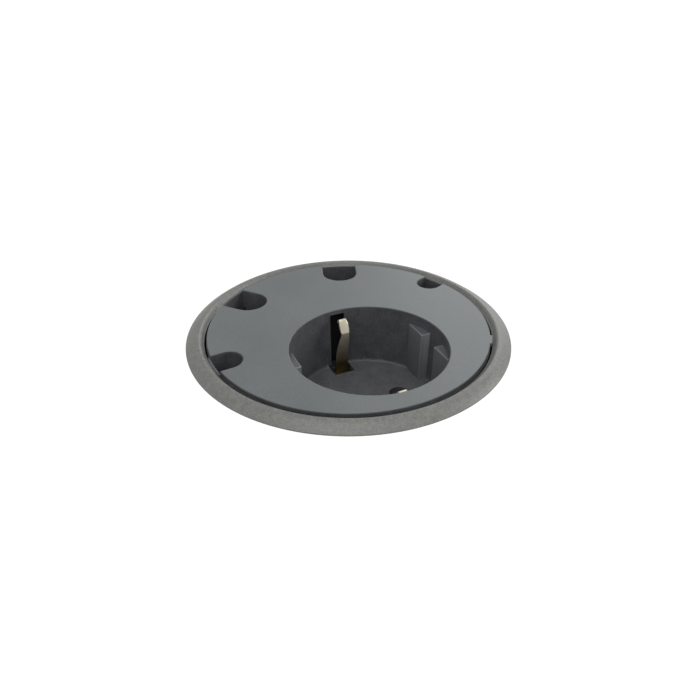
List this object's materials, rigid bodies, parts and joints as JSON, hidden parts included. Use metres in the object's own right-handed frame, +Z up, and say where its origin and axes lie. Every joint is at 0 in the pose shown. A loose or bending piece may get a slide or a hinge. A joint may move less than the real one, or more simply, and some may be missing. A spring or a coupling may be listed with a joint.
{
  "type": "in-desk power module",
  "caption": "Round flush-mount desk socket module: earthed plug well in a cover disc with rim notches for cables, in a threaded barrel with clamp nut.",
  "frame": {"origin": "centre of the trim ring on the desk surface, at the flange's underside", "axes": "+Z up out of the desk along the barrel's axis, +X to the right and +Y away from the viewer as the module is seen from the socket's side"},
  "size_m": [0.093, 0.093, 0.0561],
  "materials": {
    "ring_paint": "fine textured satin paint",
    "disc_grey": "satin",
    "insert_dark": "satin",
    "barrel_black": "moulded",
    "screw_steel": "zinc plated",
    "shutter_white": "moulded",
    "carrier_grey": "moulded",
    "contact_brass": "plain",
    "clip_brass": "pale plated",
    "grommet_rubber": "soft"
  },
  "bodies": {
    "housing": {"trim_ring": "ring_paint", "cover_disc": "disc_grey", "socket_insert": "insert_dark", "barrel": "barrel_black", "insert_screws": "screw_steel", "shutter_spring": "screw_steel", "contact_carrier": "carrier_grey", "contact_live": "contact_brass", "contact_neutral": "contact_brass", "terminal_live": "contact_brass", "terminal_neutral": "contact_brass", "terminal_earth": "contact_brass", "terminal_screws": "screw_steel", "earth_bracket": "clip_brass", "rear_cover": "insert_dark", "rear_cover_screws": "screw_steel", "cord_clamp": "insert_dark", "cord_clamp_screws": "screw_steel", "cord_grommet": "grommet_rubber"},
    "pin_shutter": {"shutter": "shutter_white"},
    "washer": {"clamp_washer": "barrel_black"},
    "nut": {"clamp_nut": "barrel_black"}
  },
  "joints": [
    {"name": "shutter_slide", "type": "slide", "parent": "housing", "child": "pin_shutter", "axis": [0.9068, 0.4215, 0], "range_m": [0, 0.0055], "stiffness_N_per_m": 150, "springref_m": -0.002, "deforming": ["shutter_spring"]},
    {"name": "washer_slide", "type": "slide", "parent": "housing", "child": "washer", "axis": [0, 0, 1], "range_m": [-0.0166, 0.0166]},
    {"name": "nut_turn", "type": "hinge", "parent": "washer", "child": "nut", "pos_m": [0, 0, -0.031], "axis": [0, 0, 1], "range_deg": [-1980, 1980]}
  ],
  "couplings": [
    {"joint": "washer_slide", "follows": "nut_turn", "m_per_rad": 0.00047746}
  ]
}
